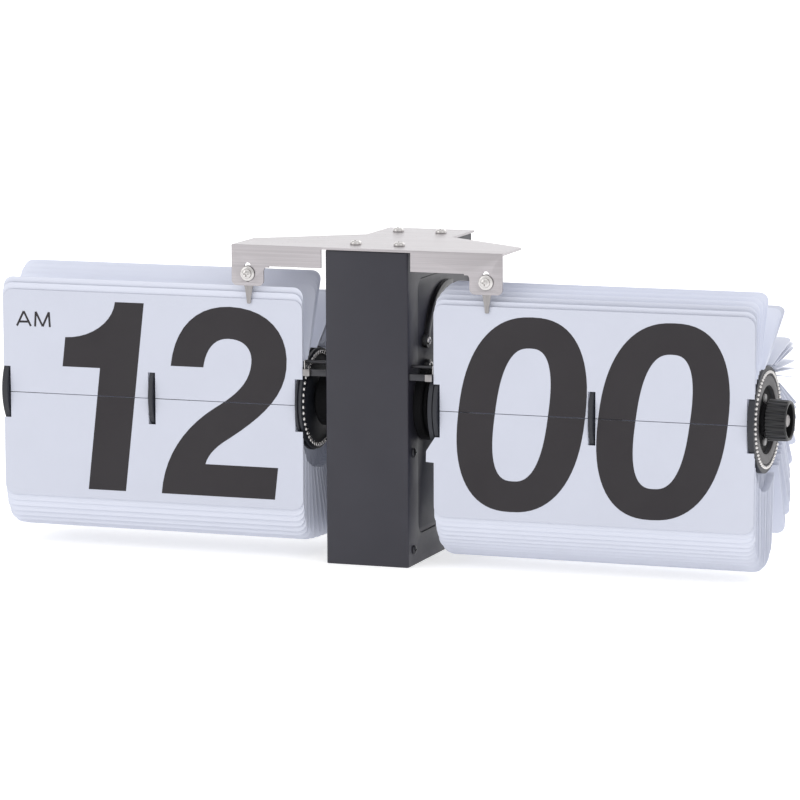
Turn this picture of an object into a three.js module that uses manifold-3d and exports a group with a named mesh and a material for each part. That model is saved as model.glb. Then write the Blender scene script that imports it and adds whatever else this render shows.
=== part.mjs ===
// Flip number clock: a narrow centre case with an hour drum on the left and a minute drum on the
// right, both on one axis. Millimetres, +Z up, origin at the centre of the case's bottom face,
// -Y is the dial side.
import * as THREE from 'three';
import { mergeVertices } from 'three/addons/utils/BufferGeometryUtils.js';
import Module from 'manifold-3d';

const wasm = await Module();
wasm.setup();

// ---- driving dimensions ---------------------------------------------------------------------
const CASE = { width: 38.2, depth: 86.5, height: 138.2, wall: 1.6, cornerR: 1.2 };
const GAP = 0.3;                         // play between neighbouring pieces
const FRONT_Y = -CASE.depth / 2;
const HALF_W = CASE.width / 2;

const AXIS_Y = FRONT_Y + 22;             // common axis of both drums
const AXIS_Z = 69.8;
const PIN_R = 20.5;                      // circle of the leaf pins
const DISC_R = 23;
const DISC_SIDES = 36;

const LEAF = { inner: 30.4, outer: 173.9, length: 45.3, fromSplit: 46.4, thick: 0.4, cornerR: 4.4 };
const SPLIT = 0.15;                      // half of the gap between upper and lower leaf
const SLOT = 11.6;                       // height of a disc slot, from the split line
const HOUR_LAG = 0.7;                    // the hour leaves have not quite finished their step
const DISCS = {                          // distances from the middle of the clock, inner face first
  minute: { inner: [28.0, 32.5], middle: [101.0, 103.0], outer: [171.3, 174.3] },
  hour: { inner: [30.3, 33.3], middle: [101.0, 103.0], outer: [171.3, 174.3] },
};
const DISC_PLAY = 0.7;                   // leaf slot beside a disc

const PLATE = { thick: 1, wing: 62.5, neck: 20.2, wingDepth: 25.5, neckStart: 56 };
const FLANGE = { thick: 0.8, proud: 0.7, inner: 20.6, tab: 47.5, seam: 130.3, tip: 121.5, r: 2.4 };
const FINGER = {                         // the slot in the tab is longer than the finger's travel
  x: 55, screwZ: 126.8, slot: [123.2, 131.7], slotR: 1.4, thick: 0.4, tip: 113.4, r: 2.6,
};
const WASHER = { r: 3.3, thick: 0.5 };
const SHANK_R = 1.1;
const SCREW_X = 10.1;
const SCREW_Y = [14.7, 69.9];
const PLATE_Z = CASE.height + GAP;

const PANEL = { front: 13.5, back: 84.0, bottom: 12.8, top: 125.5, cornerR: 5, recess: 0.4 };
const SIDE_SCREW = { r: 2.1, y: 7, z: [7, 50] };

const MOVEMENT = { plateX: 13.6, plateT: 1.2 };
const CENTRES = 21;                      // drum axis to reduction axis
const MOTOR_CENTRES = 18;
const MOTOR_ANGLE = 110;                 // degrees above +Y, seen from the minute side
const CELL = { r: 16.2, length: 61, z: 20.5, front: 19, buttonR: 4.6, shoulder: 1.6, button: 1.4 };

// ---- materials ------------------------------------------------------------------------------
const finish = (color, roughness, metalness) =>
  new THREE.MeshStandardMaterial({ color, roughness, metalness });
const MAT = {
  case: finish(0x47474c, 0.45, 0.3),
  black: finish(0x151517, 0.5, 0),
  steel: finish(0xc9c6c2, 0.35, 1),
  bright: finish(0xd8d8da, 0.25, 1),
  leaf: finish(0xe3e6ef, 0.4, 0),
  brass: finish(0xb8924a, 0.35, 1),
  board: finish(0x2f6b42, 0.6, 0),
  cell: finish(0x8a8d92, 0.4, 0.6),
  gear: finish(0xe9e6dc, 0.5, 0),
  grey: finish(0x57565a, 0.55, 0),
};

// ---- solids ---------------------------------------------------------------------------------
const model = new THREE.Group();
const rad = (deg) => deg * Math.PI / 180;

// Closed geometry to an exact solid and back.
function solid(geometry) {
  const g = geometry.clone();
  g.deleteAttribute('normal');
  g.deleteAttribute('uv');
  const merged = mergeVertices(g, 1e-5);
  return new wasm.Manifold(new wasm.Mesh({
    numProp: 3,
    vertProperties: new Float32Array(merged.attributes.position.array),
    triVerts: new Uint32Array(merged.index.array),
  }));
}

function geometryOf(manifold) {
  const mesh = manifold.getMesh();
  const g = new THREE.BufferGeometry();
  g.setAttribute('position', new THREE.BufferAttribute(new Float32Array(mesh.vertProperties), 3));
  g.setIndex(new THREE.BufferAttribute(new Uint32Array(mesh.triVerts), 1));
  g.computeVertexNormals();
  return g;
}

const join = (...list) => list.reduce((a, b) => a.add(b));
const cut = (body, ...tools) => tools.reduce((a, b) => a.subtract(b), body);

function node(name, body, material) {
  const mesh = new THREE.Mesh(geometryOf(body), material);
  mesh.name = name;
  model.add(mesh);
  return mesh;
}

function box(x, y, z) {
  const g = new THREE.BoxGeometry(x[1] - x[0], y[1] - y[0], z[1] - z[0]);
  g.translate((x[0] + x[1]) / 2, (y[0] + y[1]) / 2, (z[0] + z[1]) / 2);
  return solid(g);
}

const span = (a, b) => [Math.min(a, b), Math.max(a, b)];

// A round bar along X, Y or Z, from a to b.
function bar(axis, r, a, b, at, sides = 18) {
  const [lo, hi] = span(a, b);
  const g = new THREE.CylinderGeometry(r, r, hi - lo, sides);
  const mid = (lo + hi) / 2;
  if (axis === 'x') g.rotateZ(-Math.PI / 2).translate(mid, at[0], at[1]);
  if (axis === 'y') g.translate(at[0], mid, at[1]);
  if (axis === 'z') g.rotateX(Math.PI / 2).translate(at[0], at[1], mid);
  return solid(g);
}

const onAxis = (r, a, b, sides) => bar('x', r, a, b, [AXIS_Y, AXIS_Z], sides);

function prism(shape, depth, curveSegments = 5) {
  return new THREE.ExtrudeGeometry(shape, { depth, bevelEnabled: false, curveSegments });
}

// Outlines pushed along one axis. The outline's two coordinates are (y, z), (x, z) and (x, y).
function alongX(shape, a, b, segments) {
  const [lo, hi] = span(a, b);
  const turn = new THREE.Matrix4().set(0, 0, 1, lo, 1, 0, 0, 0, 0, 1, 0, 0, 0, 0, 0, 1);
  return solid(prism(shape, hi - lo, segments).applyMatrix4(turn));
}

function alongY(shape, a, b, segments) {
  const [lo, hi] = span(a, b);
  const turn = new THREE.Matrix4().set(1, 0, 0, 0, 0, 0, -1, hi, 0, 1, 0, 0, 0, 0, 0, 1);
  return solid(prism(shape, hi - lo, segments).applyMatrix4(turn));
}

function alongZ(shape, a, b, segments) {
  return solid(prism(shape, b - a, segments).translate(0, 0, a));
}

function polygon(points) {
  return new THREE.Shape(points.map(([u, v]) => new THREE.Vector2(u, v)));
}

function roundedRect(u0, u1, v0, v1, r) {
  const s = new THREE.Shape();
  s.moveTo(u0 + r, v0);
  s.lineTo(u1 - r, v0);
  s.absarc(u1 - r, v0 + r, r, -Math.PI / 2, 0, false);
  s.lineTo(u1, v1 - r);
  s.absarc(u1 - r, v1 - r, r, 0, Math.PI / 2, false);
  s.lineTo(u0 + r, v1);
  s.absarc(u0 + r, v1 - r, r, Math.PI / 2, Math.PI, false);
  s.lineTo(u0, v0 + r);
  s.absarc(u0 + r, v0 + r, r, Math.PI, 1.5 * Math.PI, false);
  return s;
}

// ---- centre case ----------------------------------------------------------------------------
const panelY = [FRONT_Y + PANEL.front, FRONT_Y + PANEL.back];
const panelZ = [PANEL.bottom, PANEL.top];
const DOOR = { x: 17.0, z: [3.6, 38.4] };

function caseShell() {
  const { width, depth, height, wall, cornerR } = CASE;
  const outer = alongZ(roundedRect(-width / 2, width / 2, -depth / 2, depth / 2, cornerR), 0, height, 3);
  const inner = box([wall - width / 2, width / 2 - wall], [wall - depth / 2, depth / 2 - wall],
    [wall, height - wall]);
  const windows = [-1, 1].map((side) => alongX(
    roundedRect(...panelY, ...panelZ, PANEL.cornerR), side * (HALF_W - 3), side * (HALF_W + 1), 4));
  const doorway = box([-DOOR.x, DOOR.x], [depth / 2 - 3, depth / 2 + 1], DOOR.z);
  return cut(outer, inner, ...windows, doorway);
}
node('case_shell', caseShell(), MAT.case);

function sidePanel(side, boss) {
  const face = HALF_W - PANEL.recess;
  const [y0, y1] = [panelY[0] + GAP, panelY[1] - GAP];
  const [z0, z1] = [panelZ[0] + GAP, panelZ[1] - GAP];
  const plate = alongX(roundedRect(y0, y1, z0, z1, PANEL.cornerR - GAP), side * face, side * (face - 1.4), 4);
  return cut(plate, onAxis(boss + GAP, side * 14, side * 24, 20));
}
const SPIGOT_R = 6.8;                    // the part of a boss that passes through the panel
node('right_side_panel', sidePanel(1, SPIGOT_R), MAT.case);
node('left_side_panel', sidePanel(-1, SPIGOT_R), MAT.case);

const door = box([GAP - DOOR.x, DOOR.x - GAP], [CASE.depth / 2 - CASE.wall, CASE.depth / 2 - 0.2],
  [DOOR.z[0] + GAP, DOOR.z[1] - GAP]);
const thumbNotch = bar('x', 2.2, -6, 6, [CASE.depth / 2 + 1.2, DOOR.z[1] - 5], 16);
node('battery_door', cut(door, thumbNotch), MAT.case);

for (const side of [-1, 1]) {
  SIDE_SCREW.z.forEach((z, i) => {
    const y = FRONT_Y + SIDE_SCREW.y;
    const head = bar('x', SIDE_SCREW.r, side * (HALF_W + GAP), side * (HALF_W + 1.1), [y, z], 14);
    const reach = span(side * (HALF_W + 0.7), side * (HALF_W + 2));
    const slot = box(reach, [y - 0.3, y + 0.3], [z - 1.4, z + 1.4]);
    node(`${side > 0 ? 'right' : 'left'}_case_screw_${i + 1}`, cut(head, slot), MAT.black);
  });
}

// ---- top bracket ----------------------------------------------------------------------------
const SHEET_Y = [FRONT_Y - FLANGE.proud, FRONT_Y - FLANGE.proud + FLANGE.thick];

// One folded front: a straight upper band that drops into a tab at its outer end, with a slot in
// the tab for the finger's screw.
function flange(side) {
  const { inner, tab, seam, tip, r } = FLANGE;
  const top = PLATE_Z + PLATE.thick / 2;
  const s = new THREE.Shape();
  s.moveTo(inner, top);
  s.lineTo(inner, seam);
  s.lineTo(tab - r, seam);
  s.absarc(tab - r, seam - r, r, Math.PI / 2, 0, true);
  s.lineTo(tab, tip + r);
  s.absarc(tab + r, tip + r, r, Math.PI, 1.5 * Math.PI, false);
  s.lineTo(PLATE.wing - r, tip);
  s.absarc(PLATE.wing - r, tip + r, r, -Math.PI / 2, 0, false);
  s.lineTo(PLATE.wing, top);
  const sheet = alongY(s, ...SHEET_Y, 4);
  const { x, slot, slotR } = FINGER;
  const opening = alongY(
    roundedRect(x - slotR, x + slotR, ...slot, slotR - 0.05), SHEET_Y[0] - 1, SHEET_Y[1] + 1, 3);
  return cut(sheet, opening).scale([side, 1, 1]);
}

function topBracket() {
  const { thick, wing, neck, wingDepth, neckStart } = PLATE;
  const back = CASE.depth / 2;
  const plate = alongZ(polygon([
    [-wing, SHEET_Y[0]], [wing, SHEET_Y[0]], [wing, FRONT_Y + wingDepth], [neck, FRONT_Y + neckStart],
    [neck, back], [-neck, back], [-neck, FRONT_Y + neckStart], [-wing, FRONT_Y + wingDepth],
  ]), PLATE_Z, PLATE_Z + thick);
  return join(plate, flange(-1), flange(1));
}
node('top_bracket', topBracket(), MAT.steel);

const headRise = 1.9;
let screwNumber = 0;
for (const depth of SCREW_Y) {
  for (const x of [-SCREW_X, SCREW_X]) {
    screwNumber += 1;
    const y = FRONT_Y + depth;
    const z = PLATE_Z + PLATE.thick;
    const head = bar('z', 2.6, z + GAP, z + headRise, [x, y], 16);
    const crossA = box([x - 1.5, x + 1.5], [y - 0.35, y + 0.35], [z + headRise - 0.6, z + 3]);
    const crossB = box([x - 0.35, x + 0.35], [y - 1.5, y + 1.5], [z + headRise - 0.6, z + 3]);
    node(`bracket_screw_${screwNumber}`, cut(head, crossA, crossB), MAT.bright);
  }
}

// ---- leaf fingers: thin strips behind the tabs that hold the front upper leaf back -------------
const fingerY = [SHEET_Y[1] + GAP, SHEET_Y[1] + GAP + FINGER.thick];

// Half of the strip's outline, as (half width, height), from the top down to the tip.
const FINGER_EDGE = [[FINGER.r, 130.4], [FINGER.r, 122.5], [1.9, 120.6], [0.9, FINGER.tip]];

function finger(x) {
  const left = FINGER_EDGE.map(([w, z]) => [x - w, z]);
  const right = FINGER_EDGE.map(([w, z]) => [x + w, z]).reverse();
  const hole = bar('y', SHANK_R + GAP, fingerY[0] - 1, fingerY[1] + 1, [x, FINGER.screwZ], 12);
  return cut(alongY(polygon([...left, ...right]), ...fingerY), hole);
}

function washer(at, back) {
  const hole = bar('y', SHANK_R + GAP, back - 2, back + 2, at, 12);
  return cut(bar('y', WASHER.r, back - WASHER.thick, back, at, 20), hole);
}

function clampScrew([x, z], back) {
  const head = bar('y', 2.2, back - 1.1, back, [x, z], 16);
  const shank = bar('y', SHANK_R, back - 0.5, fingerY[1] + 1.4, [x, z], 10);
  const driver = box([x - 1.5, x + 1.5], [back - 2, back - 0.7], [z - 0.3, z + 0.3]);
  return cut(join(head, shank), driver);
}

for (const [x, name] of [[FINGER.x, 'minute'], [-FINGER.x, 'hour']]) {
  const at = [x, FINGER.screwZ];
  const washerBack = SHEET_Y[0] - GAP;
  node(`${name}_finger`, finger(x), MAT.bright);
  node(`${name}_finger_washer`, washer(at, washerBack), MAT.bright);
  node(`${name}_finger_screw`, clampScrew(at, washerBack - WASHER.thick - GAP), MAT.bright);
}

// ---- bosses, detents and guard strips between the case and the drums --------------------------
const AXLE_R = 2.5;
function boss(side, r, end) {
  const flat = onAxis(r, side * (HALF_W + GAP), side * end, 28);
  const spigot = onAxis(SPIGOT_R, side * 16.2, side * 20, 18);
  return cut(join(flat, spigot), onAxis(AXLE_R + GAP, side * 10, side * 40, 14));
}
node('minute_boss', boss(1, 16, 24.2), MAT.black);
node('hour_boss', boss(-1, 11.8, 29.3), MAT.black);

// A small stop beside the inner edge of the front leaves, on a stem from the case.
const DETENT = { y: FRONT_Y + 1.25, z: 84, end: 29.9, length: 3.2, halfY: 1, halfZ: 1.55, stemR: 0.9 };
function detent(side) {
  const { y, z, end, length, halfY, halfZ, stemR } = DETENT;
  const stem = bar('x', stemR, side * (HALF_W + GAP), side * (end - 1), [y, z], 14);
  const block = box(span(side * (end - length), side * end), [y - halfY, y + halfY], [z - halfZ, z + halfZ]);
  return join(stem, block);
}
node('minute_detent', detent(1), MAT.bright);
node('hour_detent', detent(-1), MAT.bright);

// A curved strip on the side wall, from a screwed foot at the front up and over to the back.
const GUARD = { centre: [FRONT_Y + 50, 92], r: [26.5, 29.5], from: 80, to: 171, foot: 168.7, footR: 3.4 };
function guardStrip(side) {
  const { centre, r, from, to, foot, footR } = GUARD;
  const outline = new THREE.Shape();
  outline.absarc(...centre, r[1], rad(from), rad(to), false);
  outline.absarc(...centre, r[0], rad(to), rad(from), true);
  const near = side * (HALF_W + GAP);
  const footAt = [centre[0] + 28 * Math.cos(rad(foot)), centre[1] + 28 * Math.sin(rad(foot))];
  return join(alongX(outline, near, side * (HALF_W + 1.9), 7),
    bar('x', footR, near, side * (HALF_W + 1.7), footAt, 16));
}
node('right_guard_strip', guardStrip(1), MAT.black);
node('left_guard_strip', guardStrip(-1), MAT.black);

// ---- gears ----------------------------------------------------------------------------------
// A spur gear outline with narrow straight-sided teeth, so that a pair runs with backlash.
function gearShape(teeth, module_, phase) {
  const pitch = teeth * module_ / 2;
  const tip = pitch + 0.8 * module_;
  const root = pitch - 1.15 * module_;
  const step = 2 * Math.PI / teeth;
  const points = [];
  for (let i = 0; i < teeth; i += 1) {
    const a = phase + i * step;
    for (const [r, half] of [[root, -0.27], [tip, -0.1], [tip, 0.1], [root, 0.27]]) {
      points.push([r * Math.cos(a + half * step), r * Math.sin(a + half * step)]);
    }
  }
  return polygon(points);
}

// A gear standing along X at (y, z). bore is the radius of its centre hole.
function gear(teeth, module_, x, at, phase, bore) {
  const blank = alongX(gearShape(teeth, module_, phase), x[0], x[1]).translate(0, at[0], at[1]);
  return cut(blank, bar('x', bore, x[0] - 1, x[1] + 1, at, 16));
}

// Tooth phases: the driving gear has a tooth on the line of centres, the driven one a gap.
const toothAt = (angle) => angle;
const gapAt = (angle, teeth) => angle + Math.PI / teeth;

const DRUM_AT = [AXIS_Y, AXIS_Z];
const IDLER_AT = [AXIS_Y + CENTRES, AXIS_Z];
const motorTurn = rad(MOTOR_ANGLE);
const MOTOR_AT = [AXIS_Y + MOTOR_CENTRES * Math.cos(motorTurn), AXIS_Z + MOTOR_CENTRES * Math.sin(motorTurn)];
const SHAFT_BORE = AXLE_R + GAP;

node('minute_drive_wheel', gear(50, 0.6, [9, 11], DRUM_AT, toothAt(motorTurn), SHAFT_BORE), MAT.gear);
node('minute_pinion', gear(12, 0.7, [4, 7], DRUM_AT, toothAt(0), SHAFT_BORE), MAT.brass);
node('reduction_wheel', gear(48, 0.7, [4.6, 6.4], IDLER_AT, gapAt(Math.PI, 48), 1.5 + GAP), MAT.gear);
const idlerPinion = alongX(gearShape(10, 0.6, toothAt(Math.PI)), -9, -5).translate(0, ...IDLER_AT);
node('reduction_pinion', join(idlerPinion, bar('x', 1.5, -16.2, 16.2, IDLER_AT, 14)), MAT.brass);
node('hour_wheel', gear(60, 0.6, [-8, -6], DRUM_AT, gapAt(0, 60), SHAFT_BORE), MAT.gear);
const motorPinion = alongX(gearShape(10, 0.6, gapAt(motorTurn + Math.PI, 10)), 8.4, 11.6)
  .translate(0, ...MOTOR_AT);
node('motor_pinion', join(motorPinion, bar('x', 1, 7.9, 12.6, MOTOR_AT, 12)), MAT.brass);

// ---- movement -------------------------------------------------------------------------------
const plateY = [FRONT_Y + 4, FRONT_Y + 72];
const plateZ = [44, 122];
const PILLARS = [[FRONT_Y + 8, 116], [FRONT_Y + 66, 112], [FRONT_Y + 64, 50]];
function movementPlate(side) {
  const { plateX, plateT } = MOVEMENT;
  const plate = alongX(roundedRect(...plateY, ...plateZ, 3), side * plateX, side * (plateX + plateT), 3);
  const axleHole = onAxis(AXLE_R + 1.5, side * 10, side * 20, 20);
  return cut(plate, axleHole, bar('x', 1.5 + GAP, side * 10, side * 20, IDLER_AT, 14));
}
node('movement_plate_right', movementPlate(1), MAT.steel);
node('movement_plate_left', movementPlate(-1), MAT.steel);
const pillarEnd = MOVEMENT.plateX - GAP;
PILLARS.forEach((at, i) => {
  node(`movement_pillar_${i + 1}`, bar('x', 2.2, -pillarEnd, pillarEnd, at, 12), MAT.brass);
});
node('motor', bar('x', 9, -4, 7.6, MOTOR_AT, 28), MAT.steel);
node('circuit_board', box([-12.4, -10.8], [FRONT_Y + 50, FRONT_Y + 61], [54, 108]), MAT.board);

const cellY = [FRONT_Y + CELL.front, FRONT_Y + CELL.front + CELL.length];
const cellBody = bar('y', CELL.r, cellY[0], cellY[1] - CELL.shoulder, [0, CELL.z], 32);
const cellButton = bar('y', CELL.buttonR, cellY[0] - CELL.button, cellY[0] + 2, [0, CELL.z], 16);
node('battery_cell', join(cellBody, cellButton), MAT.cell);
node('contact_front', box([-8, 8], [cellY[0] - 2.4, cellY[0] - 1.7], [CELL.z - 9, CELL.z + 9]), MAT.steel);
node('contact_back', box([-8, 8], [cellY[1] - 1.2, cellY[1] - 0.5], [CELL.z - 9, CELL.z + 9]), MAT.steel);

// ---- drums ----------------------------------------------------------------------------------
// A disc with a bevelled rim, turned about the drum axis.
function disc(side, [a, b]) {
  const bevel = Math.min(0.6, (b - a) / 4);
  const profile = [
    [0, a], [DISC_R - bevel, a], [DISC_R, a + bevel], [DISC_R, b - bevel], [DISC_R - bevel, b], [0, b]];
  const g = new THREE.LatheGeometry(profile.map(([r, x]) => new THREE.Vector2(r, x)), DISC_SIDES);
  g.rotateZ(-Math.PI / 2);
  if (side < 0) g.rotateZ(Math.PI);
  g.translate(0, AXIS_Y, AXIS_Z);
  return cut(solid(g), onAxis(AXLE_R + GAP, side * (a - 1), side * (b + 1), 14));
}

const KNOB = {
  r: 9.1, from: 176.4, to: 184.3, ribs: 18, ribDepth: 0.7, collarR: 6.8, collar: 173.4,
  boreR: 6.2, boreFloor: 178.4,
};
function knob() {
  const points = [];
  const step = 2 * Math.PI / KNOB.ribs;
  const valley = KNOB.r - KNOB.ribDepth;
  for (let i = 0; i < KNOB.ribs; i += 1) {
    for (const [r, turn] of [[valley, -0.4], [KNOB.r, -0.25], [KNOB.r, 0.25], [valley, 0.4]]) {
      const angle = (i + turn) * step;
      points.push([r * Math.cos(angle), r * Math.sin(angle)]);
    }
  }
  const body = alongX(polygon(points), KNOB.from, KNOB.to).translate(0, AXIS_Y, AXIS_Z);
  const collar = onAxis(KNOB.collarR, KNOB.collar, KNOB.from + 1, 20);
  const bore = onAxis(KNOB.boreR, KNOB.boreFloor, KNOB.to + 1, 18);
  return cut(join(body, collar), bore, onAxis(AXLE_R + GAP, 170, 180, 14));
}

// The outer minute disc is hollow behind the knob, with a short post above and below the axle.
const RECESS = { r: 14.6, floor: 173.1, postR: 1.55, postAt: 9.3, postEnd: 173.8 };
function outerMinuteDisc() {
  const { r, floor, postR, postAt, postEnd } = RECESS;
  const hollow = cut(disc(1, DISCS.minute.outer), onAxis(r, floor, 180, 24));
  const posts = [-postAt, postAt].map(
    (up) => bar('x', postR, floor - 0.5, postEnd, [AXIS_Y, AXIS_Z + up], 12));
  return join(hollow, ...posts);
}

node('minute_disc_inner', disc(1, DISCS.minute.inner), MAT.black);
node('minute_disc_middle', disc(1, DISCS.minute.middle), MAT.black);
node('minute_disc_outer', outerMinuteDisc(), MAT.black);
node('minute_knob', knob(), MAT.black);
node('minute_axle', join(onAxis(AXLE_R, 1, 180.6, 16), onAxis(1.9, 180, 182.4, 12)), MAT.steel);
node('minute_ring', cut(onAxis(19.1, 174.6, 175.1, 30), onAxis(14.8, 174, 176, 24)), MAT.grey);

for (const [place, extent] of Object.entries(DISCS.hour)) {
  node(`hour_disc_${place}`, disc(-1, extent), MAT.black);
}
node('hour_axle', onAxis(AXLE_R, -1, -173.6, 16), MAT.steel);

// ---- leaves ---------------------------------------------------------------------------------
// A front leaf's outline, (distance from the middle, height from the split line). discs gives the
// places of its three slots; ear adds the catch on the inner edge of the minute drum's fallen leaf.
function leafOutline(discs, ear) {
  const { inner, outer, fromSplit, cornerR } = LEAF;
  const s = new THREE.Shape();
  const first = discs.inner[1] + DISC_PLAY;
  const [m0, m1] = [discs.middle[0] - DISC_PLAY, discs.middle[1] + DISC_PLAY];
  const last = discs.outer[0] - DISC_PLAY;
  s.moveTo(first, SPLIT);
  for (const p of [[m0, SPLIT], [m0, SLOT], [m1, SLOT], [m1, SPLIT], [last, SPLIT],
    [last, SLOT], [outer, SLOT], [outer, fromSplit - cornerR]]) s.lineTo(...p);
  s.absarc(outer - cornerR, fromSplit - cornerR, cornerR, 0, Math.PI / 2, false);
  s.lineTo(inner + cornerR, fromSplit);
  s.absarc(inner + cornerR, fromSplit - cornerR, cornerR, Math.PI / 2, Math.PI, false);
  if (ear) for (const p of [[inner, 22.8], [inner - 3.6, 22.6], [inner - 3.4, 17.8]]) s.lineTo(...p);
  s.lineTo(inner + (ear ? 1 : 0), SLOT);
  s.lineTo(first, SLOT);
  return s;
}

const leafY = AXIS_Y - PIN_R;
function frontLeaf(side, upward, discs, ear) {
  const body = alongY(leafOutline(discs, ear), -LEAF.thick / 2, LEAF.thick / 2, 4);
  const lag = side < 0 ? HOUR_LAG : 0;
  return body.scale([side, 1, upward ? 1 : -1]).translate(0, leafY, AXIS_Z - lag);
}

// Direction in which a leaf points, for a pin at a given angle round the drum: 180 is the front,
// 90 the top, 0 the back. Upright leaves stand at the front, the waiting ones lean on each other in
// small groups behind the drum, and the fallen ones hang.
const BEHIND = [
  [105, 33.5], [99, 13], [93, 12], [87, 9], [81, 7], [75, -0.5], [69, -5.5], [63, -8.5], [57, -23],
  [51, -25], [45, -29.5], [39, -35.5], [33, -41], [27, -53], [21, -59], [15, -60.5], [-27, -59.5],
  [-33, -67.5], [-39, -67.5], [-45, -96], [-63, -94.5], [-90, -92],
];
const LEAN = {
  minute: [[180, 90], [171, 88.5], [165, 85.5], [159, 81.5], [153, 77], [141, 66], [135, 41], ...BEHIND],
  hour: [[180, 90], [168, 89.8], [161, 89.3], [154, 66], [131, 67], [124, 38], ...BEHIND],
};
function lean(name, pin) {
  const knots = LEAN[name];
  for (let i = 1; i < knots.length; i += 1) {
    const [[a0, d0], [a1, d1]] = [knots[i - 1], knots[i]];
    if (pin >= a1) return d0 + (d1 - d0) * (a0 - pin) / (a0 - a1);
  }
  return -90;
}

function discClearance(side, discs) {
  return Object.values(discs).map(
    ([a, b]) => onAxis(DISC_R + 1, side * (a - DISC_PLAY), side * (b + DISC_PLAY), 24));
}

// The thin curved strip that stands for the leaves' pins.
function pinStrip(x, from, to) {
  const outline = new THREE.Shape();
  outline.absarc(AXIS_Y, AXIS_Z, PIN_R + 0.3, rad(from), rad(to), false);
  outline.absarc(AXIS_Y, AXIS_Z, PIN_R - 0.7, rad(to), rad(from), true);
  return alongX(outline, ...x, 12);
}

const pointOn = (r, angle) => [AXIS_Y + r * Math.cos(rad(angle)), AXIS_Z + r * Math.sin(rad(angle))];

// One leaf of the fan, seen from its edge, as long as a leaf and as thick as two.
function blade(name, pin, x) {
  const d = rad(lean(name, pin));
  const [y0, z0] = pointOn(PIN_R - 0.2, pin);
  const [dy, dz] = [LEAF.length * Math.cos(d), LEAF.length * Math.sin(d)];
  const [ny, nz] = [-LEAF.thick * Math.sin(d), LEAF.thick * Math.cos(d)];
  return alongX(polygon([
    [y0 - ny, z0 - nz], [y0 + dy - ny, z0 + dz - nz], [y0 + dy + ny, z0 + dz + nz], [y0 + ny, z0 + nz],
  ]), ...x);
}

// Leaves waiting at the top and back, as a fan of blades joined by a thin strip at their pins.
const TRAILING = [105, 99, 90, 81, 72, 63, 57, 48, 39, 30, 21, 9, -3, -15, -27, -39, -48, -57, -66];
const WAITING = {
  minute: [156, 149, 141, 135, 125, 115, ...TRAILING],
  hour: [154, 146, 139, 131, 124, 115, ...TRAILING],
};
function waitingLeaves(name, side, discs) {
  const x = span(side * LEAF.inner, side * LEAF.outer);
  const pins = WAITING[name];
  const strip = pinStrip(x, Math.min(...pins) - 1, Math.max(...pins) + 1);
  return cut(join(strip, ...pins.map((pin) => blade(name, pin, x))), ...discClearance(side, discs));
}

// Fallen leaves: a hanging stack whose tips step down towards the back.
function fallenLeaves(side, discs) {
  const x = span(side * LEAF.inner, side * LEAF.outer);
  const blades = [];
  const pins = [-161, -149, -137, -125, -113, -101, -89];
  pins.forEach((pin, i) => {
    const [y, z] = pointOn(PIN_R, pin);
    const [next] = pointOn(PIN_R, pins[i + 1] ?? pin + 4);
    blades.push(box(x, [y, next + 0.2], [z - LEAF.length, z - 5]));
  });
  return cut(join(...blades), ...discClearance(side, discs), onAxis(PIN_R + 1.2, ...x, 28));
}

for (const [name, side] of [['minute', 1], ['hour', -1]]) {
  const discs = DISCS[name];
  node(`${name}_leaf_upper`, frontLeaf(side, true, discs, false), MAT.leaf);
  node(`${name}_leaf_lower`, frontLeaf(side, false, discs, side > 0), MAT.leaf);
  node(`${name}_leaves_waiting`, waitingLeaves(name, side, discs), MAT.leaf);
  node(`${name}_leaves_fallen`, fallenLeaves(side, discs), MAT.leaf);
}

export default model;
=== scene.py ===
"""Looks of a flip number clock: dark centre case, steel bracket and two drums of printed leaves.

Lengths are in millimetres in the shared frame (+X to the minute side, -Y the front) and are turned
into metres when a mesh is made. A side is 1 for the minute side and -1 for the hour side.
"""

import math
import random

import bmesh
import bpy
from mathutils import Matrix, Vector


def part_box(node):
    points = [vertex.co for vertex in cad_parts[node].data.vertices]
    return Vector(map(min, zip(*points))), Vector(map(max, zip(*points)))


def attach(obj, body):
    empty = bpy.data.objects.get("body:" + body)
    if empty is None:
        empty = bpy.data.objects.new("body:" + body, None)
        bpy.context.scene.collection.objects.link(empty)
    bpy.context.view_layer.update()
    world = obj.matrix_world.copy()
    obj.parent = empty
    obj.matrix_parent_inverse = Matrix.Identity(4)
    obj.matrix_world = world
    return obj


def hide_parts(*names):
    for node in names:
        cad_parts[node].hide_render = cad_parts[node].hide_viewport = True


MM = 0.001
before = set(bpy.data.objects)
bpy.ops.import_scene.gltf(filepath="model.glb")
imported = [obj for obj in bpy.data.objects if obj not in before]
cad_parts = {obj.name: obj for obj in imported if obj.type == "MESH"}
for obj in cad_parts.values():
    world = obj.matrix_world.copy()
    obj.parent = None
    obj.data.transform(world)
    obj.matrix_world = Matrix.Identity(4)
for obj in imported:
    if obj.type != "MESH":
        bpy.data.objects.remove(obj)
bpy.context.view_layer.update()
scene = bpy.context.scene
rng = random.Random(12)


# ---- places, read from the frame ---------------------------------------------------------------
def box_mm(node):
    low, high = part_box(node)
    return [c / MM for c in low], [c / MM for c in high]


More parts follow.
